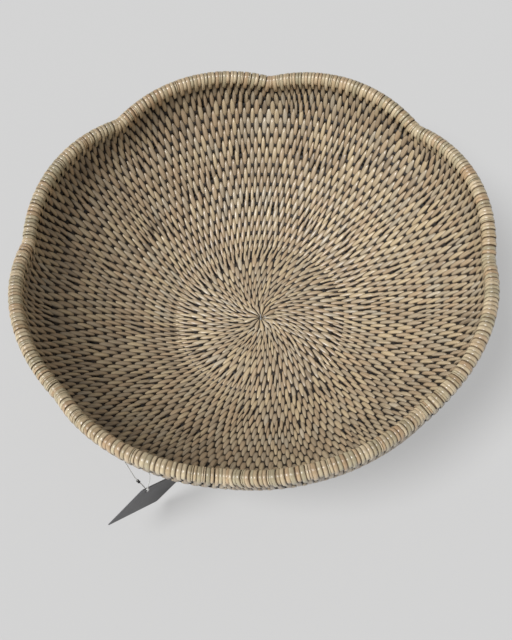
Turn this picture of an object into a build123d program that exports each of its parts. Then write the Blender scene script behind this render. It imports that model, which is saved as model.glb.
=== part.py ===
"""Coiled rattan bowl with an eight-lobed rim and a hang tag.

Millimetres, +Z up. The origin is on the bowl's axis, at the level that the bowl stands on.
One notch of the lobed rim lies on +X. The base is one rod wound in a flat spiral, the wall is
a stack of closed hoops, and a thicker hoop makes the rim. Peeled strips are lashed round every
row, so each row is a rod inside a sleeve of strips.
"""
import os
from math import atan2, cos, degrees, pi, radians, sin, tan

from build123d import *

os.makedirs("parts", exist_ok=True)

# ---- driving dimensions -------------------------------------------------------------------
row_pitch = 8.0  # from one row to the next, measured up the wall
rod_dia = 5.6  # rattan rod inside each row
strip_thick = 0.75  # peeled strip lashed round the rods
strip_fit = 0.05  # clearance between a strip and its rod

base_radius = 68.0  # from the axis to the seam between base and wall
spiral_start_radius = 1.9  # middle of the rod, where the spiral starts
spiral_start_pitch = 4.6  # the spiral starts with a thinner rod
closing_turn = 250.0  # degrees that the skived end of the spiral's rod runs on inside the wall

wall_rows = 17
wall_foot_slope = 22.0  # degrees above level, where the wall leaves the base
shallow_arc_radius = 183.0  # the wall line is an arc, a straight and a tighter arc
shallow_arc_turn = 25.0
wall_straight = 22.8
steep_arc_radius = 43.0
steep_arc_turn = 110.0  # runs on past the rim, so that there is line left for more rows

rim_rod_dia = 8.0
rim_strip_thick = 0.8
rim_seat = 0.85  # room between the rim and the row below it

lobe_count = 8
lobe_reach = 4.0  # how much further out the middle of a lobe is than a notch
lobe_lift = 8.0  # how much higher it is
lobed_rows = 6  # rows below the rim over which the lobes fade out
notch_ease = 6.5  # length of rod that the bend takes up on each side of a notch

tag_lobe = 6  # the tag hangs from this lobe, counted from +X
tag_shift = 10.0  # and this far along the rim from the lobe's middle
thread_dia = 0.6
thread_fit = 0.35  # between the thread and what it passes
thread_spread = 15.0  # between the two places where the thread leaves the rim
thread_exit = 20.0  # degrees below level, where the thread leaves the rim's outside
thread_drop = 38.0  # from the rim down to the tag's hole
thread_flare = 3.0  # how much further out the hole hangs than the thread's ends
card_side = 46.0
card_thick = 0.6
card_corner = 1.0
card_hole_dia = 3.2
card_hole_down = 6.0  # from the hole to the card's upper edge
card_hole_in = 8.0  # from the hole to the card's side edge
card_facing = 31.0  # degrees between the card's plane and the bowl's axis
card_lean = 10.0  # degrees that the card's lower corner is pushed towards the left run
crimp_dia = 1.9
crimp_length = 2.6
knot_dia = 2.2

# ---- sizes that follow ---------------------------------------------------------------------
row_outer = rod_dia / 2 + strip_fit + strip_thick
row_room = row_pitch / 2 - row_outer
rim_outer = rim_rod_dia / 2 + strip_fit + rim_strip_thick
base_level = row_outer
rim_along = (wall_rows - 0.5) * row_pitch + row_outer + rim_seat + rim_outer

with BuildLine() as wall_line:  # X is the distance from the axis, Y is the height
    shallow = JernArc(
        (base_radius, base_level),
        (cos(radians(wall_foot_slope)), sin(radians(wall_foot_slope))),
        shallow_arc_radius,
        shallow_arc_turn,
    )
    straight = Line(shallow @ 1, shallow @ 1 + (shallow % 1) * wall_straight)
    steep = JernArc(straight @ 1, straight % 1, steep_arc_radius, steep_arc_turn)


def save(node, part):
    part.label = node
    export_step(part, f"parts/{node}.step")


# ---- rods and sleeves along arcs ---------------------------------------------------------------
def rod(arc, radius, bore=0.0):
    """A round rod, or a sleeve with this bore, along an arc."""
    with BuildSketch(Plane(arc @ 0, z_dir=arc % 0)) as section:
        Circle(radius)
        if bore > 0:
            Circle(bore, mode=Mode.SUBTRACT)
    spoke = arc @ 0 - arc.arc_center
    turning_axis = Axis(arc.arc_center, spoke.cross(arc % 0))
    turn = degrees(arc.length / arc.radius)
    return revolve(section.sketch, turning_axis, turn, mode=Mode.PRIVATE)


# ---- base: a flat spiral, wound clockwise, whose rod is thinner towards the middle ------------
edge_row_radius = base_radius - row_pitch / 2
spiral_span = edge_row_radius - spiral_start_radius
half_turns = 2 * round(2 * spiral_span / (spiral_start_pitch + row_pitch))
first_pitch = 4 * spiral_span / half_turns - row_pitch


def half_turn_pitch(index):
    return first_pitch + (row_pitch - first_pitch) * index / (half_turns - 1)


def half_turn(index, grow=0.0, level=base_level):
    """Half circle of the spiral, from one crossing of the X axis to the next, grown outwards."""
    start = spiral_start_radius + sum(half_turn_pitch(i) for i in range(index)) / 2
    end = start + half_turn_pitch(index) / 2
    side = 1 if index % 2 == 0 else -1
    middle = (side * (start - end) / 2, 0)
    with BuildLine(Plane.XY.offset(level)) as line:
        CenterArc(middle, (start + end) / 2 + grow, 90 - 90 * side, -180)
    return line.edge()


def half_turn_outer(index):
    """Outside radius of the lashed rod in this half turn."""
    return half_turn_pitch(index) / 2 - row_room


with BuildLine(Plane.XY.offset(base_level)) as closing_line:  # the last turn, inside the wall
    CenterArc((0, 0), edge_row_radius, 0, -closing_turn)

with BuildPart(mode=Mode.PRIVATE) as turns_inside:  # what the skived closing turn lies against
    with BuildSketch():
        with BuildLine():
            outer = [half_turn(index, row_pitch / 2, 0) for index in (half_turns - 2, half_turns - 1)]
            add(outer)
            Line(outer[1] @ 1, outer[0] @ 0)
        make_face()
    extrude(amount=row_pitch)

with BuildPart() as base_coil:
    add(rod(closing_line.edge(), rod_dia / 2))
    add(turns_inside.part, mode=Mode.SUBTRACT)
    add([rod(half_turn(i), half_turn_outer(i) - strip_thick - strip_fit) for i in range(half_turns)])
save("base_coil", base_coil.part)

with BuildPart() as base_lashing:
    add(rod(closing_line.edge(), row_outer, row_outer - strip_thick))
    add(turns_inside.part, mode=Mode.SUBTRACT)
    sizes = [half_turn_outer(i) for i in range(half_turns)]
    add([rod(half_turn(i), sizes[i], sizes[i] - strip_thick) for i in range(half_turns)])
save("base_lashing", base_lashing.part)


# ---- wall: closed hoops, round at the foot and lobed at the rim --------------------------------
def row_arcs(along):
    """The arcs that make the middle line of the row this far up the wall line."""
    seat = wall_line.wire().position_at(along, position_mode=PositionMode.LENGTH)
    share = max(0.0, 1 - (rim_along - along) / (lobed_rows * row_pitch))
    if share == 0:
        with BuildLine(Plane.XY.offset(seat.Y)) as line:
            CenterArc((0, 0), seat.X, 0, 360)
        return line.edges()
    notch = Vector(seat.X - share * lobe_reach / 2, 0, seat.Y - share * lobe_lift / 2)
    crest = Vector(seat.X + share * lobe_reach / 2, 0, seat.Y + share * lobe_lift / 2)
    sector = 360 / lobe_count
    whole = ThreePointArc(notch, crest.rotate(Axis.Z, sector / 2), notch.rotate(Axis.Z, sector))
    cut = notch_ease / whole.length
    lobe = whole.trim(cut, 1 - cut)
    bend = TangentArc(lobe @ 1, (lobe @ 0).rotate(Axis.Z, sector), tangent=lobe % 1)
    return [arc.rotate(Axis.Z, sector * i) for i in range(lobe_count) for arc in (lobe, bend)]


def save_row(rod_node, sleeve_node, along, rod_radius, thick):
    """Write one row's rod and the sleeve of strips round it."""
    bore = rod_radius + strip_fit
    with BuildPart() as hoop:
        add([rod(arc, rod_radius) for arc in row_arcs(along)])
    save(rod_node, hoop.part)
    with BuildPart() as sleeve:
        add([rod(arc, bore + thick, bore) for arc in row_arcs(along)])
    save(sleeve_node, sleeve.part)


for row in range(1, wall_rows + 1):
    save_row(f"hoop_{row:02d}", f"lashing_{row:02d}", (row - 0.5) * row_pitch, rod_dia / 2, strip_thick)

save_row("rim_hoop", "rim_binding", rim_along, rim_rod_dia / 2, rim_strip_thick)

# ---- tag: a card on a thread that is looped through the basket under the rim --------------------
rim_lobe = row_arcs(rim_along)[2 * (tag_lobe - 1)]
down = Vector(0, 0, -1)


def beside_rim(shift):
    """Where the thread lies against the rim, this far along it from the middle of the lobe."""
    middle = rim_lobe @ (0.5 + shift / rim_lobe.length)
    level_reach = Vector(middle.X, middle.Y, 0).normalized() * cos(radians(thread_exit))
    reach = rim_outer + thread_fit + thread_dia / 2
    return middle + (level_reach + down * sin(radians(thread_exit))) * reach


left_end = beside_rim(tag_shift - thread_spread / 2)
right_end = beside_rim(tag_shift + thread_spread / 2)
hanger = (left_end + right_end) / 2
outward = Vector(hanger.X, hanger.Y, 0).normalized()
hole = hanger + down * thread_drop + outward * thread_flare
level = (-outward).rotate(Axis.Z, -card_facing)
left = level.cross(down)  # towards the thread's left run
sag = down * cos(radians(card_lean)) + left * sin(radians(card_lean))  # down the card's face
slant = atan2(card_side / 2 - card_hole_in, card_side / 2 - card_hole_down)
card_plane = Plane(hole, x_dir=level * cos(slant) + sag * sin(slant), z_dir=sag.cross(level))

with BuildPart() as tag_card:
    with BuildSketch(card_plane):
        with Locations((card_side / 2 - card_hole_in, card_hole_down - card_side / 2)):
            RectangleRounded(card_side, card_side, card_corner)
        Circle(card_hole_dia / 2, mode=Mode.SUBTRACT)
    extrude(amount=card_thick / 2, both=True)
save("tag_card", tag_card.part)


def near_hole(sideways, inwards, above):
    """A point given from the place where the thread passes under the top of the card's hole."""
    seat = hole - down * (card_hole_dia / 2 - thread_fit - thread_dia / 2)
    return seat + left * sideways + level * inwards - down * above


thread_points = [
    left_end,
    left_end + down * 6.5,
    near_hole(4.6, -1.9, 17.0),
    near_hole(2.6, -0.4, 5.6),
    near_hole(1.6, 0.0, 0.0),
    near_hole(-1.6, 0.0, 0.0),
    near_hole(-2.4, 0.9, 6.0),
    near_hole(-5.6, 1.4, 17.5),
    right_end + down * 6.5,
    right_end,
]
thread_radii = []
for before, corner, after in zip(thread_points, thread_points[1:], thread_points[2:]):
    half_bend = radians((corner - before).get_angle(after - corner)) / 2
    thread_radii.append(0.45 * min((corner - before).length, (after - corner).length) / tan(half_bend))
print("thread radii", [round(radius, 1) for radius in thread_radii])

with BuildPart() as tag_thread:
    with BuildLine() as thread_line:
        FilletPolyline(*thread_points, radius=thread_radii)
    with BuildSketch(Plane(thread_line.line @ 0, z_dir=thread_line.line % 0)):
        Circle(thread_dia / 2)
    sweep()
thread_length = thread_line.wire().length
print("thread length", round(thread_length, 1), "volume over section times length",
      round(tag_thread.part.volume / (pi * thread_dia**2 / 4 * thread_length), 4))
save("tag_thread", tag_thread.part)

left_run = (thread_points[3] - thread_points[2]).normalized()
with BuildPart() as tag_crimp:  # a sleeve pinched on the left run, just above the card
    with BuildSketch(Plane((thread_points[2] + thread_points[3]) / 2, z_dir=left_run)):
        Circle(crimp_dia / 2)
        Circle(thread_dia / 2, mode=Mode.SUBTRACT)
    extrude(amount=crimp_length / 2, both=True)
save("tag_crimp", tag_crimp.part)

right_run = (thread_points[7] - thread_points[6]).normalized()
knot_middle = thread_points[6] + right_run * knot_dia * 1.5
with BuildPart() as tag_knot:  # a round knot that has slid down the right run
    with Locations(Plane(knot_middle, z_dir=right_run)):
        Sphere(knot_dia / 2)
        Cylinder(thread_dia / 2, knot_dia, mode=Mode.SUBTRACT)
save("tag_knot", tag_knot.part)
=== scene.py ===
"""Looks for the coiled rattan bowl: lashed rows, a wound lobed rim and a hang tag.

Metres, +Z up, in the frame of the solids. Every row of the bowl is a rod with strips of peeled
rattan looped round it. Each strip is modelled here, and its ends lie between the ends of the
strips in the rows beside it. Bearings run anticlockwise round +Z, from the notch on +X.
"""
from math import asin, atan2, copysign, cos, hypot, pi, radians, sin, sqrt, tan

import bmesh
import bpy
import numpy as np
from mathutils import Matrix, Vector


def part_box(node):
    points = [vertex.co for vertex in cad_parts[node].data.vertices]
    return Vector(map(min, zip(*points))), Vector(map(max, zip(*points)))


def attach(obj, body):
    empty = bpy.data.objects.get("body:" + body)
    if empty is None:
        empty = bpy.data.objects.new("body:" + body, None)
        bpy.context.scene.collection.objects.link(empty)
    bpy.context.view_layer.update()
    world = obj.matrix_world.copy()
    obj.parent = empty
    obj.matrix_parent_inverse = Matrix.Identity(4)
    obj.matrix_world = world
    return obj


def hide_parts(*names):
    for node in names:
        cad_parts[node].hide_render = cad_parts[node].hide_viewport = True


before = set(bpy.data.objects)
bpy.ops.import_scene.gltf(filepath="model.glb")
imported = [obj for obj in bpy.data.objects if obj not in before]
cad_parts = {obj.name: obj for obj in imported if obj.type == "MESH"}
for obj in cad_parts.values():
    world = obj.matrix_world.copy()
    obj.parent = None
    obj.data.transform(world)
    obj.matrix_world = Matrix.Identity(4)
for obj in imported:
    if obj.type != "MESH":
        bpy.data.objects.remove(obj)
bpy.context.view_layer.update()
chance = np.random.default_rng(41)

MM = 0.001
WALL_ROWS = 17
LOBES = 8
NOTCH_EASE = 3.2 * MM  # the notch of a lobed row is rounded over this much to each side
UPPER_RADIUS = 160 * MM  # of the lobed rows, roughly, over which the notches are rounded
REACH_PER_LIFT = 0.5  # a lobe's middle is this much further out for each mm that it is higher
LEAST_LIFT = 0.05 * MM  # a row that rises less than this has no lobes

# ---- sizes taken from the solids ------------------------------------------------------------
base_low, base_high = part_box("base_lashing")
STRIP_OUTER = (base_high.z - base_low.z) / 2  # from a rod's middle to the outside of its strips
BASE_LEVEL = base_low.z + STRIP_OUTER
hoop_low, hoop_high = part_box("hoop_01")
ROD_RADIUS = (hoop_high.z - hoop_low.z) / 2
ROW_ROOM = 0.4 * MM  # half of what the strips of two rows leave between them
PITCH = 2 * (STRIP_OUTER + ROW_ROOM)
EDGE_RADIUS = base_high.x - STRIP_OUTER  # of the last full turn of the base


# ---- node maths written as Python ---------------------------------------------------------------
class Value:
    """A number that comes out of a node. Arithmetic on it adds Math nodes."""

    def __init__(self, socket):
        self.socket = socket

    def maths(self, operation, first, second):
        tree = self.socket.id_data
        node = tree.nodes.new("ShaderNodeMath")
        node.operation = operation
        for slot, value in zip(node.inputs, (first, second)):
            connect(tree, slot, value)
        return Value(node.outputs[0])

    def __add__(self, other):
        return self.maths("ADD", self, other)

    def __sub__(self, other):
        return self.maths("SUBTRACT", self, other)

    def __rsub__(self, other):
        return self.maths("SUBTRACT", other, self)

    def __mul__(self, other):
        return self.maths("MULTIPLY", self, other)

    def __pow__(self, other):
        return self.maths("POWER", self, other)

    __radd__ = __add__
    __rmul__ = __mul__


def connect(tree, socket, value):
    """Give a node's socket a number or a colour, or link it to what another node puts out."""
    if isinstance(value, Value):
        tree.links.new(value.socket, socket)
    else:
        socket.default_value = value


class Finish:
    """A material whose nodes are added one at a time."""

    def __init__(self, name):
        self.material = bpy.data.materials.new(name)
        self.material.use_nodes = True
        self.tree = self.material.node_tree
        self.tree.nodes.clear()

    def add(self, kind, values=None, output=0, stops=None, **settings):
        node = self.tree.nodes.new("ShaderNode" + kind)
        for name, value in settings.items():
            setattr(node, name, value)
        if stops:
            ramp = node.color_ramp
            while len(ramp.elements) < len(stops):
                ramp.elements.new(0.5)
            for element, (place, colour) in zip(ramp.elements, stops):
                element.position = place
                element.color = colour
        for name, value in (values or {}).items():
            connect(self.tree, node.inputs[name], value)
        return Value(node.outputs[output])

    def mix(self, share, first, second, blend="MIX"):
        """A colour between two colours."""
        return self.add("Mix", {0: share, 6: first, 7: second}, 2, data_type="RGBA", blend_type=blend)

    def number(self, name):
        """A number that each strip carries."""
        return self.add("Attribute", output=2, attribute_name=name)

    def noise(self, place, scale, detail=3.0, roughness=0.6):
        return self.add("TexNoise", {"Vector": place, "Scale": scale, "Detail": detail,
                                     "Roughness": roughness})

    def ramp(self, amount, *stops):
        return self.add("ValToRGB", {"Fac": amount}, stops=stops)

    def between(self, amount, low, high):
        """0 below the low value and 1 above the high one."""
        return self.add("MapRange", {"Value": amount, "From Min": low, "From Max": high})

    def surface(self, colour, roughness, height=None, depth=0.0, **values):
        """Finish with a shader, and a bump from a height that goes from 0 to 1."""
        inputs = {"Base Color": colour, "Roughness": roughness}
        inputs.update({name.replace("_", " "): value for name, value in values.items()})
        if height is not None:
            inputs["Normal"] = self.add("Bump", {"Height": height, "Distance": depth})
        shader = self.add("BsdfPrincipled", inputs)
        self.add_output(shader)
        return self.material

    def add_output(self, shader):
        node = self.tree.nodes.new("ShaderNodeOutputMaterial")
        self.tree.links.new(shader.socket, node.inputs["Surface"])


def shade(red, green, blue):
    """A colour written from 0 to 255 as it looks, as the linear colour that a node takes."""
    linear = [(part / 255) ** 2.2 for part in (red, green, blue)]
    return (*linear, 1.0)


# ---- finishes ----------------------------------------------------------------------------------
def strip_place(finish, along, across):
    """Coordinates that run down each strip, with a different stretch of grain on every one."""
    uv = finish.add("UVMap", uv_map="strip")
    stretched = finish.add("VectorMath", {0: uv, 1: (along, across, 0)}, operation="MULTIPLY")
    grain = finish.number("grain")
    start = finish.add("CombineXYZ", {"X": grain * 31.0, "Y": grain * 57.0, "Z": grain * 83.0})
    return finish.add("VectorMath", {0: stretched, 1: start}, operation="ADD")


def strip_finish(name, stops, dirt_and_shade, gloss, edge_dirt_and_shade):
    """Peeled rattan: a colour of its own on each strip, fine grain down its length, stains, edges
    darkened by dirt and painted shade, and painted shade where it turns under.
    """
    finish = Finish(name)
    body = finish.add("TexCoord", output=3)
    patches = finish.noise(body, 22.0, 2.0)
    tone = finish.number("tone") * 0.86 + patches * 0.28 - 0.07
    colour = finish.ramp(tone, *stops)
    fine = finish.noise(strip_place(finish, 5.0, 9.0), 1.0, 4.0)
    streaks = finish.noise(strip_place(finish, 1.4, 3.6), 1.0, 2.0)
    grain = finish.between(fine, 0.3, 0.75)
    colour = finish.mix(grain * 0.6, colour, finish.mix(1.0, colour, shade(178, 164, 150), "MULTIPLY"))
    stained = finish.between(streaks, 0.56, 0.74)
    colour = finish.mix(stained * 0.5, colour, dirt_and_shade)
    # dirt and painted shade: each strip darker towards its two long edges, where it meets its neighbours
    width = finish.add("SeparateXYZ", {0: finish.add("UVMap", uv_map="strip")}, output=1)
    edges = finish.between(width * (1 - width) * 4, 0.7, 0.15)
    colour = finish.mix(edges * edge_dirt_and_shade, colour, dirt_and_shade)
    # painted shade: each strip darker where it turns under the strips of the rows beside it
    buried = finish.number("buried") ** 1.6
    colour = finish.mix(buried * 0.6, colour, finish.mix(0.8, colour, dirt_and_shade, "MULTIPLY"))
    roughness = grain * 0.16 + stained * 0.14 + gloss
    return finish.surface(colour, roughness, fine * 0.6 + streaks * 0.4, 0.25 * MM,
                          Coat_Weight=0.3, Coat_Roughness=0.25)


def rod_finish(name, dark, light):
    """Round rattan rod, seen only between the strips, with patches between a dark and a light colour."""
    finish = Finish(name)
    body = finish.add("TexCoord", output=3)
    fibres = finish.noise(body, 420.0, 3.0)
    patches = finish.noise(body, 60.0, 2.0)
    colour = finish.mix(finish.between(patches, 0.35, 0.7), dark, light)
    return finish.surface(colour, fibres * 0.3 + 0.5, fibres, 0.2 * MM)


def card_finish():
    """Dark board, blank, with pale fibres where its face and edges are rubbed."""
    finish = Finish("dark_card")
    body = finish.add("TexCoord", output=3)
    fibres = finish.noise(body, 900.0, 4.0)
    smudges = finish.noise(body, 70.0, 3.0)
    colour = finish.mix(finish.between(smudges, 0.4, 0.72) * 0.5, shade(80, 80, 83), shade(100, 99, 99))
    rubbed = finish.between(fibres, 0.56, 0.72) * finish.between(smudges, 0.45, 0.6)
    colour = finish.mix(rubbed * 0.55, colour, shade(158, 157, 154))
    return finish.surface(colour, smudges * 0.3 + 0.35, fibres, 0.05 * MM)


def thread_finish():
    """Thin glossy thread, with its twist."""
    finish = Finish("pale_thread")
    body = finish.add("TexCoord", output=3)
    twist = finish.add("TexWave", {"Vector": body, "Scale": 900.0, "Distortion": 3.0}, 1)
    colour = finish.mix(twist, shade(206, 206, 202), shade(232, 232, 230))
    return finish.surface(colour, 0.35, twist, 0.05 * MM)


def crimp_finish():
    """Small black plastic sleeve with moulding marks."""
    finish = Finish("black_crimp")
    body = finish.add("TexCoord", output=3)
    marks = finish.noise(body, 1200.0, 3.0)
    colour = finish.mix(marks, shade(24, 24, 26), shade(52, 52, 54))
    return finish.surface(colour, marks * 0.3 + 0.3, marks, 0.05 * MM)


WALL_STOPS = (
    (0.0, shade(132, 119, 101)),
    (0.2, shade(172, 155, 131)),
    (0.36, shade(196, 173, 142)),
    (0.5, shade(184, 169, 145)),
    (0.66, shade(210, 190, 155)),
    (0.8, shade(188, 176, 154)),
    (1.0, shade(242, 228, 202)),
)
RIM_STOPS = (
    (0.0, shade(182, 150, 112)),
    (0.22, shade(222, 200, 162)),
    (0.4, shade(206, 196, 164)),
    (0.58, shade(244, 226, 190)),
    (0.76, shade(214, 184, 146)),
    (1.0, shade(252, 240, 212)),
)
# the third colour is for the stains, and for the dirt and painted shade at the strips' edges and where
# they turn under
wall_strips = strip_finish("weathered_strip", WALL_STOPS, shade(64, 51, 39), 0.26, 0.78)
rim_strips = strip_finish("rim_strip", RIM_STOPS, shade(92, 70, 48), 0.2, 0.5)
# near-black rods: painted shade in the gaps between the strips, darker than the rods' own brown
gap_shade_rods = rod_finish("rod_painted_shade", shade(22, 18, 14), shade(42, 34, 26))
rim_rod = rod_finish("rim_rod", shade(84, 66, 48), shade(120, 98, 72))
# near-black: painted shade in the gaps between the rods
seam_shade = rod_finish("buried_strip_painted_shade", shade(16, 13, 11), shade(28, 23, 18))
card = card_finish()
thread_white = thread_finish()
crimp_black = crimp_finish()


# ---- the middle lines of the rows ------------------------------------------------------------------
STATIONS = 1440  # places round a row at which its middle line is kept
BEARINGS = np.arange(STATIONS) * 2 * pi / STATIONS


class Row:
    """The middle line of one closed row: its distance from the axis and its height, by bearing."""

    def __init__(self, distance, height):
        self.distance = distance + np.zeros(len(BEARINGS))
        self.height = height + np.zeros(len(BEARINGS))

    def profile(self, bearing):
        """Distance from the axis and height at this bearing."""
        distance = np.interp(bearing, BEARINGS, self.distance, period=2 * pi)
        return np.array((distance, np.interp(bearing, BEARINGS, self.height, period=2 * pi)))

    def point(self, bearing):
        distance, height = self.profile(bearing)
        return Vector((distance * cos(bearing), distance * sin(bearing), height))


def eased(line):
    """The line with its corners at the notches rounded."""
    steps = 2 * round(NOTCH_EASE / (2 * pi * UPPER_RADIUS / len(line))) + 1
    padded = np.concatenate((line[-steps:], line, line[:steps]))
    smooth = np.convolve(padded, np.ones(steps) / steps, "same")
    return smooth[steps:-steps]


ARC_POINTS = 61  # in each lobe's arc


def lobed_row(notch_distance, notch_height, reach, lift):
    """A row of equal arcs, each from a notch over the lobe's middle to the next notch."""
    half = pi / LOBES
    chord = notch_distance * cos(half)
    outwards = notch_distance + reach - chord
    rise = hypot(outwards, lift)
    spread = notch_distance * sin(half)
    arc_radius = (spread**2 + rise**2) / (2 * rise)
    turns = np.linspace(-1, 1, ARC_POINTS) * asin(spread / arc_radius)
    depth = arc_radius * np.cos(turns) - arc_radius + rise
    distance = chord + depth * outwards / rise
    sideways = arc_radius * np.sin(turns)
    bearing = half + np.arctan2(sideways, distance)
    along = BEARINGS % (2 * half)
    lobes = np.interp(along, bearing, np.hypot(distance, sideways))
    return Row(eased(lobes), eased(np.interp(along, bearing, notch_height + depth * lift / rise)))


def row_of(node, rod_radius):
    """The middle line of a row, from the box of its rod."""
    low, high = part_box(node)
    lift = max(0.0, high.z - low.z - 2 * rod_radius)
    if lift < LEAST_LIFT:
        return Row(high.x - rod_radius, low.z + rod_radius)
    reach = lift * REACH_PER_LIFT
    farthest = high.x - rod_radius  # the box reaches a little past the notch, on the lobes' flanks
    past = 2 * reach**2 / (2 * reach + farthest * (pi / LOBES) ** 2)
    return lobed_row(farthest - past, low.z + rod_radius, reach, lift)


RIM_ROD_RADIUS = 4.0 * MM
RIM_STRIP = 0.85 * MM  # thickness of the strip that is wound round the rim, with its bow
RIM_OUTER = RIM_ROD_RADIUS + RIM_STRIP
rows = [row_of(f"hoop_{number:02d}", ROD_RADIUS) for number in range(1, WALL_ROWS + 1)]
rim = row_of("rim_hoop", RIM_ROD_RADIUS)

# ---- one loop of strip ---------------------------------------------------------------------------


def strip_loop(name, section, steps, upper_end, lower_end, flatness, hook=0.0):
    """A loop round X, half a width of 1 and a radius of 1, that narrows where it turns over.

    The upper and lower ends are the shares of the width that are left at +Y and -Y. A flatness
    of 1 leaves the loop round, and a smaller one flattens the faces that it shows. The hook is how
    far its ends curl sideways.
    """
    bm = bmesh.new()
    dots = [bm.verts.new((place, reach, 0)) for place, reach in section]
    edges = [bm.edges.new(pair) for pair in zip(dots, dots[1:])]
    bmesh.ops.spin(bm, geom=dots + edges, axis=(1, 0, 0), cent=(0, 0, 0), angle=2 * pi,
                   steps=steps, use_merge=True)
    bmesh.ops.recalc_face_normals(bm, faces=bm.faces)
    if sum(face.normal.dot(face.calc_center_median() * Vector((0, 1, 1))) for face in bm.faces) < 0:
        bmesh.ops.reverse_faces(bm, faces=bm.faces)
    uv = bm.loops.layers.uv.new("strip")
    for face in bm.faces:
        face.smooth = True
        middle = face.calc_center_median()
        middle_turn = atan2(middle.z, middle.y)
        for loop in face.loops:
            turn = atan2(loop.vert.co.z, loop.vert.co.y)
            turn += 2 * pi * round((middle_turn - turn) / (2 * pi))
            loop[uv].uv = (turn / (2 * pi), loop.vert.co.x * 0.5 + 0.5)
    for vert in bm.verts:
        reach = hypot(vert.co.y, vert.co.z)
        across, out = vert.co.y / reach, vert.co.z / reach
        end = upper_end if across > 0 else lower_end
        vert.co.x *= 1 - (1 - end) * abs(across) ** 4
        vert.co.x += hook * across**3
        vert.co.z = copysign(abs(out) ** flatness, out) * reach
    mesh = bpy.data.meshes.new(name)
    bm.to_mesh(mesh)
    bm.free()
    return mesh


ROUNDED = ((-1, 0.8), (-0.74, 0.95), (0, 1), (0.74, 0.95), (1, 0.8))
FLAT = ((-1, 0.92), (-0.88, 0.98), (0, 1), (0.88, 0.98), (1, 0.92))
row_loop = strip_loop("row_loop", ROUNDED, 16, 0.15, 0.15, 0.5, 0.1)
rim_loop = strip_loop("rim_loop", FLAT, 14, 1.0, 1.0, 1.0)
tail_loop = strip_loop("tail_loop", FLAT, 14, 1.0, 0.5, 0.7)


def placed(middle, along, across, half_width, half_across, half_depth, slant):
    """The matrix that lays a loop at a point of a row: X along it, Y across it, Z out of the bowl."""
    along = along.normalized()
    across = (across - along * across.dot(along)).normalized()
    outside = along.cross(across)
    columns = (along * half_width, (across - along * slant) * half_across, outside * half_depth, middle)
    matrix = Matrix.Identity(4)
    for index, column in enumerate(columns):
        matrix.col[index][:3] = column
    return matrix


def strip_piece(name, placings, material, tones, node):
    """One piece from loops of strip, each at its place. It stands for the row's plain sleeve."""
    bm = bmesh.new()
    for loop, place in placings:
        strip = loop.copy()
        strip.transform(place)
        bm.from_mesh(strip)
        bpy.data.meshes.remove(strip)
    mesh = bpy.data.meshes.new(name)
    bm.to_mesh(mesh)
    bm.free()
    sizes = [len(loop.vertices) for loop, place in placings]
    carried = {
        "tone": np.repeat(tones, sizes),
        "grain": np.repeat(chance.random(len(placings)), sizes),
        # how near each point is to where its strip turns under, for the painted shade there
        "buried": np.array([abs(vert.co.y) ** 3 for loop, place in placings for vert in loop.vertices]),
    }
    for key, values in carried.items():
        layer = mesh.attributes.new(key, "FLOAT", "POINT")
        layer.data.foreach_set("value", values.astype(np.float32))
    mesh.materials.append(material)
    piece = bpy.data.objects.new(name, mesh)
    bpy.context.scene.collection.objects.link(piece)
    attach(piece, "bowl")
    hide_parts(node)
    return piece


ROW_DRIFT = 9  # strips of a row over which one cane's shade fades into the next one's
RIM_DRIFT = 5
DRIFT_SHARE = 0.45  # of a strip's shade that comes from its cane
DRIFT_SPREAD = 0.7


def wander(count, smooth):
    """Random shades from 0 to 1 that drift from strip to strip, as strips cut from one cane do."""
    drift = np.convolve(chance.random(count + smooth), np.ones(smooth) / smooth, "valid")[:count]
    drift = (drift - drift.mean()) * sqrt(smooth) * DRIFT_SPREAD + 0.5
    return np.clip(DRIFT_SHARE * drift + (1 - DRIFT_SHARE) * chance.random(count), 0, 1)


# ---- base: a spiral of strips, whose inner ends meet in the middle -----------------------------------
SLANT = tan(radians(13))  # in the base: how far a strip leans back for each mm across its row
TOP_SLANT = tan(radians(1))  # and in the wall's last row
TUCK = 4.1 * MM  # how far a strip runs on between the strips of the rows beside it
LOWER_REACH = 0.7 * MM  # and how much further it runs on towards the middle of the bowl
FORK = (0.27, 0.77)  # where two strips stand that start in one gap of the row below
WIDTHS = (0.86, 1.08)  # the least and most of a strip's width, over the usual width
DEPTHS = (0.95, 1.0)  # and of its depth
SLANT_SPREAD = 0.18  # how much its slant varies, over the usual slant
STRIP_SHARE = 0.325  # half a strip's width over the spacing of the strips
BASE_TURNS = 10
SPIRAL_START = 1.9 * MM
START_PITCH = 2 * (EDGE_RADIUS - SPIRAL_START) / BASE_TURNS - PITCH
BASE_SCATTER = 0.012  # how unevenly the strips are spaced, over their spacing
CLOSING_PITCH = 0.07  # the least pitch of the last turn, over the usual pitch
SPACINGS = (3.0 * MM, 4.7 * MM)  # between strips in the middle of the base and at its edge
FORK_GAP = 1.5  # a gap this much wider than the usual spacing takes two strips
CLOSING_SHARE = 0.93  # of a turn, over which the last strips get shorter and end inside the wall
SPOKES = 13
SPOKE_OUTER = 13.5 * MM
SPOKE_ENDS = (0.9, 1.1)  # the least and most of the distance at which a spoke ends, over the usual one
SPOKE_STARTS = (0.2, 1.0)  # and of the distance at which it starts, in mm
SPOKE_TONES = (0.35, 0.85)
SPOKE_WIDTH = 1.2 * MM
SPOKE_DEPTH = 2.3 * MM
SPOKE_STEP = 0.3 * MM  # by which every other spoke is thicker, so that they lie over each other
WEDGE_SHARE = 0.41  # half a spoke's width over the room that it has
WEDGE_SWIRL = 0.1  # radians that a spoke bends back by its outer end


def spiral(turns):
    """Distance from the axis and pitch of the base's row after this many turns."""
    if turns > BASE_TURNS:
        pitch = PITCH * max(CLOSING_PITCH, BASE_TURNS + 1 - turns)
        return EDGE_RADIUS + (PITCH - pitch) / 2, pitch
    growth = (PITCH - START_PITCH) / BASE_TURNS
    return SPIRAL_START + START_PITCH * turns + growth * turns**2 / 2, START_PITCH + growth * turns


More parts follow.
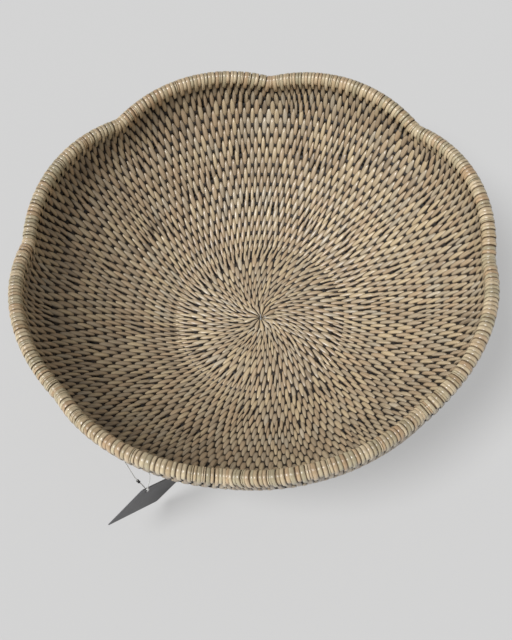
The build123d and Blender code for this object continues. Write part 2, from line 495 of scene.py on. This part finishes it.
def base_spots():
    """How many turns along the spiral each strip is. Each lies between two of the turn inside."""
    spots = [index / SPOKES for index in range(SPOKES)]
    inner = 0
    while spots[-1] < BASE_TURNS + CLOSING_SHARE:
        first, second = spots[inner], spots[inner + 1]
        turns = 1 + (first + second) / 2
        distance, pitch = spiral(turns)
        gap = (second - first) * 2 * pi * distance
        drift = pitch * SLANT / (2 * pi * distance)
        usual = SPACINGS[0] + (SPACINGS[1] - SPACINGS[0]) * distance / EDGE_RADIUS
        if gap > FORK_GAP * usual:
            spots += [1 + first + (second - first) * share + drift for share in FORK]
        else:
            spots.append(turns + drift)
        inner += 1
    return sorted(spots)


def base_places():
    spots = base_spots()
    places = []
    for before, spot, after in zip(spots, spots[1:], spots[2:]):
        distance, pitch = spiral(spot)
        if distance < SPOKE_OUTER - pitch / 2:
            continue
        bearing = -2 * pi * (spot + chance.normal(0, BASE_SCATTER) * (after - before))
        outward = Vector((cos(bearing), sin(bearing), 0))
        along = Vector((-sin(bearing), cos(bearing), 0))
        spacing = (after - before) / 2 * 2 * pi * distance
        whole = spot > BASE_TURNS  # the last rod keeps its thickness while it gets narrower
        depth = STRIP_OUTER if whole else pitch / 2 - ROW_ROOM
        tuck = TUCK if whole else TUCK * pitch / PITCH
        places.append(placed(
            outward * (distance - LOWER_REACH * pitch / PITCH) + Vector((0, 0, BASE_LEVEL)), along,
            outward, spacing * STRIP_SHARE * chance.uniform(*WIDTHS), pitch / 2 + tuck,
            depth * chance.uniform(*DEPTHS), SLANT * chance.normal(1.0, SLANT_SPREAD)))
    return places


def spoke_places():
    """The first strips, which run from the middle of the base over its first turns."""
    places = []
    for index in range(SPOKES):
        bearing = 2 * pi * index / SPOKES
        outward = Vector((cos(bearing), sin(bearing), 0))
        inner, outer = chance.uniform(*SPOKE_STARTS) * MM, SPOKE_OUTER * chance.uniform(*SPOKE_ENDS)
        places.append(placed(
            outward * (inner + outer) / 2 + Vector((0, 0, BASE_LEVEL)),
            Vector((-sin(bearing), cos(bearing), 0)), outward, SPOKE_WIDTH / 2, (outer - inner) / 2,
            SPOKE_DEPTH + SPOKE_STEP * (index % 2), 0.0))
    return places


def wedge_spokes(mesh, count):
    """Narrow the spokes towards the middle of the base, where they all meet."""
    for vert in mesh.vertices[:count]:
        distance = hypot(vert.co.x, vert.co.y)
        bearing = atan2(vert.co.y, vert.co.x)
        middle = round(bearing * SPOKES / (2 * pi)) * 2 * pi / SPOKES
        sideways = distance * sin(bearing - middle) / (SPOKE_WIDTH / 2)
        bearing = middle + sideways * WEDGE_SHARE * 2 * pi / SPOKES + WEDGE_SWIRL * distance / SPOKE_OUTER
        vert.co.x, vert.co.y = distance * cos(bearing), distance * sin(bearing)


def make_base():
    spokes, turns = spoke_places(), base_places()
    tones = np.concatenate((chance.uniform(*SPOKE_TONES, len(spokes)), wander(len(turns), ROW_DRIFT)))
    placings = [(row_loop, place) for place in spokes + turns]
    piece = strip_piece("base_strips", placings, wall_strips, tones, "base_lashing")
    wedge_spokes(piece.data, len(spokes) * len(row_loop.vertices))


# ---- wall: one piece of strips for each row -------------------------------------------------------
FIRST_COUNT = 96  # strips that the first row has at least
LAST_COUNT = 176  # and the last row
FORK_LUCK = (0.7, 1.3)  # the gaps of a row are weighed by this, and the widest ones are forked
EVENING = 0.2  # the share that each neighbour has in a strip's place when the spacing is evened out
EVENING_ROUNDS = 3
SCATTER = 0.02  # how unevenly the strips are spaced after that, over their spacing
SIDE_STEP = 0.01  # radians to each side of a strip, between which its row's direction is taken


def edge_bearings():
    """Bearings of the strips in the outermost turn of the base."""
    last = BASE_TURNS + CLOSING_SHARE
    return np.sort([-2 * pi * spot % (2 * pi) for spot in base_spots() if last - 1 < spot <= last])


def next_bearings(bearings, count, drift):
    """Bearings of a row's strips: between those of the row below, with some forked into two."""
    gaps = np.diff(np.append(bearings, bearings[0] + 2 * pi))
    forked = np.argsort(-gaps * chance.uniform(*FORK_LUCK, len(gaps)))[: max(0, count - len(gaps))]
    fresh = []
    for index, (bearing, gap) in enumerate(zip(bearings, gaps)):
        shares = FORK if index in forked else (0.5,)
        fresh += [bearing + gap * share - drift for share in shares]
    fresh = np.array(fresh)
    for _ in range(EVENING_ROUNDS):
        before = np.roll(fresh, 1)
        before[0] -= 2 * pi
        after = np.roll(fresh, -1)
        after[-1] += 2 * pi
        fresh = fresh * (1 - 2 * EVENING) + (before + after) * EVENING
    return fresh


def row_places(row, below, above, bearings, slant):
    """Where the strips of a closed row go, from the middle lines of the rows beside it."""
    places = []
    ahead = np.append(bearings[1:], bearings[0] + 2 * pi)
    behind = np.append(bearings[-1] - 2 * pi, bearings[:-1])
    for bearing, gap in zip(bearings, (ahead - behind) / 2):
        bearing += chance.normal(0, SCATTER) * gap
        middle = row.point(bearing)
        along = row.point(bearing + SIDE_STEP) - row.point(bearing - SIDE_STEP)
        to_above = (above.point(bearing) - middle).length / 2
        to_below = (middle - below.point(bearing)).length / 2
        across = (above.point(bearing) - below.point(bearing)).normalized()
        middle += across * ((to_above - to_below) / 2 - LOWER_REACH)
        spacing = gap * along.length / (2 * SIDE_STEP)
        places.append(placed(
            middle, along, across, spacing * STRIP_SHARE * chance.uniform(*WIDTHS),
            (to_above + to_below) / 2 + TUCK, STRIP_OUTER * chance.uniform(*DEPTHS),
            slant * chance.normal(1.0, SLANT_SPREAD)))
    return places


def make_wall():
    edge = Row(EDGE_RADIUS, BASE_LEVEL)
    lines = [edge, *rows, rim]
    bearings = edge_bearings()
    for number in range(1, WALL_ROWS + 1):
        below, row, above = lines[number - 1 : number + 2]
        climb = (number - 1) / (WALL_ROWS - 1)
        count = round(FIRST_COUNT + (LAST_COUNT - FIRST_COUNT) * climb)
        slant = TOP_SLANT + (SLANT - TOP_SLANT) * (1 - climb) ** 2
        bearings = next_bearings(bearings, count, PITCH * slant / row.distance[0])
        placings = [(row_loop, place) for place in row_places(row, below, above, bearings, slant)]
        strip_piece(f"row_strips_{number:02d}", placings, wall_strips, wander(len(placings), ROW_DRIFT),
                    f"lashing_{number:02d}")
    return bearings


SEAM_RADIUS = 1.9 * MM
RIM_SEAM_SHARE = 0.43  # how far up from the last row to the rim the seam between them lies
SEAM_STEPS = 72  # points in each turn of the base's seam
SEAM_STRIDE = 6  # the wall's seams have a point at every sixth station of the rows
SEAM_START = 0.3  # turns from the middle of the base


def make_seams():
    """The buried parts of the strips, which close the gaps between the rods. They are near-black, as
    painted shade in those gaps.
    """
    curve = bpy.data.curves.new("buried_strips", "CURVE")
    curve.dimensions = "3D"
    curve.bevel_depth = SEAM_RADIUS
    curve.bevel_resolution = 1
    lines = [Row(EDGE_RADIUS, BASE_LEVEL), *rows, rim]
    stations = BEARINGS[::SEAM_STRIDE]
    for below, above in zip(lines, lines[1:]):
        share = RIM_SEAM_SHARE if above is rim else 0.5
        points = [below.point(b).lerp(above.point(b), share) for b in stations]
        add_line(curve, points, True)
    turns = np.arange(SEAM_START, BASE_TURNS + CLOSING_SHARE, 1 / SEAM_STEPS)
    coil = []
    for turn in turns:
        distance, pitch = spiral(turn)
        coil.append(Vector(((distance + pitch / 2) * cos(2 * pi * turn),
                            -(distance + pitch / 2) * sin(2 * pi * turn), BASE_LEVEL)))
    add_line(curve, coil, False)
    piece = bpy.data.objects.new("buried_strips", curve)
    bpy.context.scene.collection.objects.link(piece)
    piece.data.materials.append(seam_shade)
    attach(piece, "bowl")


def add_line(curve, points, closed):
    line = curve.splines.new("POLY")
    line.points.add(len(points) - 1)
    for spot, point in zip(line.points, points):
        spot.co = (*point, 1)
    line.use_cyclic_u = closed


# ---- rim: strips wound side by side round the thick rod ----------------------------------------------
RIM_GAP = 0.1 * MM  # between two turns of strip
RIM_LEAN = tan(radians(4))
RIM_LEAN_SPREAD = 0.25  # how much the lean varies, over the usual lean
RIM_DEPTHS = (0.97, 0.995)  # the least and most of a turn's depth, over the rim's
RIM_ACROSS = 0.99 * RIM_OUTER
TAIL_WIDTHS = (0.44, 0.62)  # the share of each strip's room that its tailed turn takes
PLAIN_TURNS = ((1.0, 0.0), (0.5, 0.5), (0.36, 0.64))  # ways in which other turns share the rest
PLAIN_CHANCES = (0.72, 0.14, 0.14)
TAIL = 4.6 * MM  # how far the rim's lashing strips run down between those of the row below


def rim_turns(bearings):
    """The bearing and share of the room of each turn of strip, and whether it has a tail."""
    turns = []
    for bearing, gap in zip(bearings, np.diff(np.append(bearings, bearings[0] + 2 * pi))):
        tail = chance.uniform(*TAIL_WIDTHS)
        turns.append((bearing, gap * tail, True))
        shares = chance.choice(PLAIN_TURNS, p=PLAIN_CHANCES)
        start = bearing + gap * tail / 2
        for share in shares[shares > 0]:
            width = gap * (1 - tail) * share
            turns.append((start + width / 2, width, False))
            start += width
    return turns


def make_rim(bearings):
    """Wind the rim. The given bearings are those of the strips in the row below it."""
    top_row = rows[-1]
    placings = []
    for bearing, width, tailed in rim_turns(next_bearings(bearings, len(bearings), 0.0)):
        middle = rim.point(bearing)
        along = rim.point(bearing + SIDE_STEP) - rim.point(bearing - SIDE_STEP)
        up = (middle - top_row.point(bearing)).normalized()
        half_width = (width * hypot(middle.x, middle.y) - RIM_GAP) / 2
        lean = RIM_LEAN * chance.normal(1.0, RIM_LEAN_SPREAD)
        swell = chance.uniform(*RIM_DEPTHS)
        if tailed:
            placings.append((tail_loop, placed(
                middle - up * TAIL / 2, along, up, half_width, RIM_ACROSS + TAIL / 2,
                RIM_OUTER * swell, lean)))
        else:
            placings.append((rim_loop, placed(
                middle, along, up, half_width, RIM_ACROSS, RIM_OUTER * swell, lean)))
    tones = wander(len(placings), RIM_DRIFT)
    strip_piece("rim_strips", placings, rim_strips, tones, "rim_binding")


# ---- hang tag: a blank card on a thread that is looped through the basket ---------------------------
THREAD = 0.6 * MM
THREAD_ROUTE = [  # from the basket down through the card's hole and back up, in mm
    (-61.5, -155.3, 102.9),
    (-61.5, -155.3, 96.4),
    (-59.6, -158.2, 82.6),
    (-57.1, -158.8, 71.2),
    (-56.2, -159.3, 65.6),
    (-54.1, -161.8, 65.6),
    (-52.9, -161.8, 71.6),
    (-50.5, -163.9, 83.1),
    (-46.8, -160.1, 95.8),
    (-46.8, -160.1, 102.3),
]
CRIMP_PROFILE = (  # height along the thread and distance from it, in mm
    (-1.25, 0.5), (-1.3, 0.86), (-1.1, 0.94), (-0.8, 0.9), (-0.35, 0.7),
    (0.35, 0.7), (0.8, 0.9), (1.1, 0.94), (1.3, 0.86), (1.25, 0.5),
)
PINCH_REACH = 0.5 * MM  # how far from its middle the crimp is pinched
PINCH_SHARE = 0.66  # of its thickness that the pinch leaves
KNOT_SCALE = 0.22 * MM
KNOT_THICKNESS = 1.6  # of the knot along the thread, over its scale
KNOT_STEPS = 48


def place_of(node):
    low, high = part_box(node)
    return (low + high) / 2


def run_matrix(node, first):
    """A matrix at a node's middle, with Z along the run of thread that starts at this point."""
    start, end = (Vector(THREAD_ROUTE[index]) for index in (first, first + 1))
    turn = (end - start).to_track_quat("Z", "Y").to_matrix().to_4x4()
    return Matrix.Translation(place_of(node)) @ turn


def make_crimp():
    """A sleeve on the thread, pinched flat in its middle."""
    bm = bmesh.new()
    dots = [bm.verts.new((reach * MM, 0, height * MM)) for height, reach in CRIMP_PROFILE]
    edges = [bm.edges.new(pair) for pair in zip(dots, dots[1:] + dots[:1])]
    bmesh.ops.spin(bm, geom=dots + edges, axis=(0, 0, 1), cent=(0, 0, 0), angle=2 * pi, steps=20,
                   use_merge=True)
    bmesh.ops.recalc_face_normals(bm, faces=bm.faces)
    for vert in bm.verts:
        if abs(vert.co.z) < PINCH_REACH:
            vert.co.y *= PINCH_SHARE
    bmesh.ops.transform(bm, matrix=run_matrix("tag_crimp", 2), verts=bm.verts)
    for face in bm.faces:
        face.smooth = True
    mesh = bpy.data.meshes.new("thread_crimp")
    bm.to_mesh(mesh)
    bm.free()
    mesh.materials.append(crimp_black)
    crimp = bpy.data.objects.new("thread_crimp", mesh)
    bpy.context.scene.collection.objects.link(crimp)
    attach(crimp, "tag_loop")
    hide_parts("tag_crimp")
    return crimp


def make_knot():
    """A small knot of three tight loops, tied in the thread."""
    curve = bpy.data.curves.new("thread_knot", "CURVE")
    curve.dimensions = "3D"
    curve.bevel_depth = THREAD / 2
    curve.bevel_resolution = 2
    place = run_matrix("tag_knot", 6)
    turns = np.arange(KNOT_STEPS) * 2 * pi / KNOT_STEPS
    loops = [Vector((sin(turn) + 2 * sin(2 * turn), cos(turn) - 2 * cos(2 * turn),
                     -KNOT_THICKNESS * sin(3 * turn))) for turn in turns]
    add_line(curve, [place @ (point * KNOT_SCALE) for point in loops], True)
    knot = bpy.data.objects.new("thread_knot", curve)
    bpy.context.scene.collection.objects.link(knot)
    curve.materials.append(thread_white)
    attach(knot, "tag_loop")
    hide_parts("tag_knot")
    return knot


def make_thread():
    curve = bpy.data.curves.new("tag_loop_thread", "CURVE")
    curve.dimensions = "3D"
    curve.bevel_depth = THREAD / 2
    curve.bevel_resolution = 2
    curve.resolution_u = 10
    line = curve.splines.new("NURBS")
    line.points.add(len(THREAD_ROUTE) - 1)
    for spot, point in zip(line.points, THREAD_ROUTE):
        spot.co = (*(part * MM for part in point), 1)
    line.order_u = 3
    line.use_endpoint_u = True
    thread = bpy.data.objects.new("tag_loop_thread", curve)
    bpy.context.scene.collection.objects.link(thread)
    curve.materials.append(thread_white)
    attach(thread, "tag_loop")
    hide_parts("tag_thread")
    make_crimp()
    make_knot()


# ---- floor ----------------------------------------------------------------------------------------
BACKDROP = shade(211, 211, 211)
FLOOR_SHADE = shade(196, 196, 196)
FLOOR_SIZE = 6
PLAIN_SHARE = 0.6  # of the floor's colour that the lamps leave alone, so that its shadows are faint


def make_floor():
    bpy.ops.mesh.primitive_plane_add(size=FLOOR_SIZE, location=(0, 0, 0))
    floor = bpy.context.object
    floor.name = "floor"
    finish = Finish("pale_floor")
    lit = finish.add("BsdfDiffuse", {"Color": FLOOR_SHADE})
    plain = finish.add("Emission", {"Color": BACKDROP})
    seen = finish.add("LightPath", output=0)
    finish.add_output(finish.add("MixShader", {0: seen * PLAIN_SHARE, 1: lit, 2: plain}))
    floor.data.materials.append(finish.material)


# ---- light and camera -------------------------------------------------------------------------------
VIEW_TURN = radians(11.1)  # the view is this far round the axis from -Y
VIEW_SLOPE = radians(61.1)
VIEW_ROLL = radians(-7.2)
VIEW_DISTANCE = 625.6 * MM
VIEW_LENS = 44.4
VIEW_SHIFT = (-0.0078125, 0.0009375)  # of the lens, over the picture's longer side


def make_camera():
    right = Vector((cos(VIEW_TURN), sin(VIEW_TURN), 0))
    back = Vector((sin(VIEW_TURN) * cos(VIEW_SLOPE), -cos(VIEW_TURN) * cos(VIEW_SLOPE), sin(VIEW_SLOPE)))
    up = back.cross(right)
    rolled_right = right * cos(VIEW_ROLL) + up * sin(VIEW_ROLL)
    rolled_up = up * cos(VIEW_ROLL) - right * sin(VIEW_ROLL)
    lens = bpy.data.cameras.new("camera")
    lens.lens = VIEW_LENS
    lens.shift_x, lens.shift_y = VIEW_SHIFT
    lens.clip_start = 10 * MM
    camera = bpy.data.objects.new("camera", lens)
    bpy.context.scene.collection.objects.link(camera)
    matrix = Matrix.Identity(4)
    for index, column in enumerate((rolled_right, rolled_up, back, back * VIEW_DISTANCE)):
        matrix.col[index][:3] = column
    camera.matrix_world = matrix
    bpy.context.scene.camera = camera


LIGHT_TURN = 24  # degrees from the left of the view towards the viewer
LIGHT_SLOPE = 60
LIGHT_STRENGTH = 3.2
LIGHT_SPREAD = 24  # degrees across, which makes its shadows soft
SOFT_LIGHT = 0.28


def make_light():
    world = bpy.data.worlds.new("studio")
    world.use_nodes = True
    nodes, links = world.node_tree.nodes, world.node_tree.links
    soft_light = nodes["Background"]
    soft_light.inputs["Color"].default_value = (1, 1, 1, 1)
    soft_light.inputs["Strength"].default_value = SOFT_LIGHT
    backdrop = nodes.new("ShaderNodeBackground")
    backdrop.inputs["Color"].default_value = BACKDROP
    either, rays = nodes.new("ShaderNodeMixShader"), nodes.new("ShaderNodeLightPath")
    links.new(rays.outputs["Is Camera Ray"], either.inputs["Fac"])
    links.new(soft_light.outputs["Background"], either.inputs[1])
    links.new(backdrop.outputs["Background"], either.inputs[2])
    links.new(either.outputs["Shader"], nodes["World Output"].inputs["Surface"])
    bpy.context.scene.world = world
    lamp = bpy.data.lights.new("window", "SUN")
    lamp.energy = LIGHT_STRENGTH
    lamp.angle = radians(LIGHT_SPREAD)
    sun = bpy.data.objects.new("window", lamp)
    bpy.context.scene.collection.objects.link(sun)
    bearing = VIEW_TURN + radians(180 + LIGHT_TURN)
    from_left = Vector((cos(bearing), sin(bearing), tan(radians(LIGHT_SLOPE))))
    sun.rotation_euler = from_left.to_track_quat("Z", "Y").to_euler()


def dress(node, material):
    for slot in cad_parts[node].material_slots:
        slot.material = material


make_base()
make_rim(make_wall())
make_seams()
make_thread()
dress("base_coil", gap_shade_rods)
dress("rim_hoop", rim_rod)
for number in range(1, WALL_ROWS + 1):
    dress(f"hoop_{number:02d}", gap_shade_rods)
dress("tag_card", card)
make_floor()
make_light()
make_camera()
bpy.context.scene.view_settings.view_transform = "Standard"
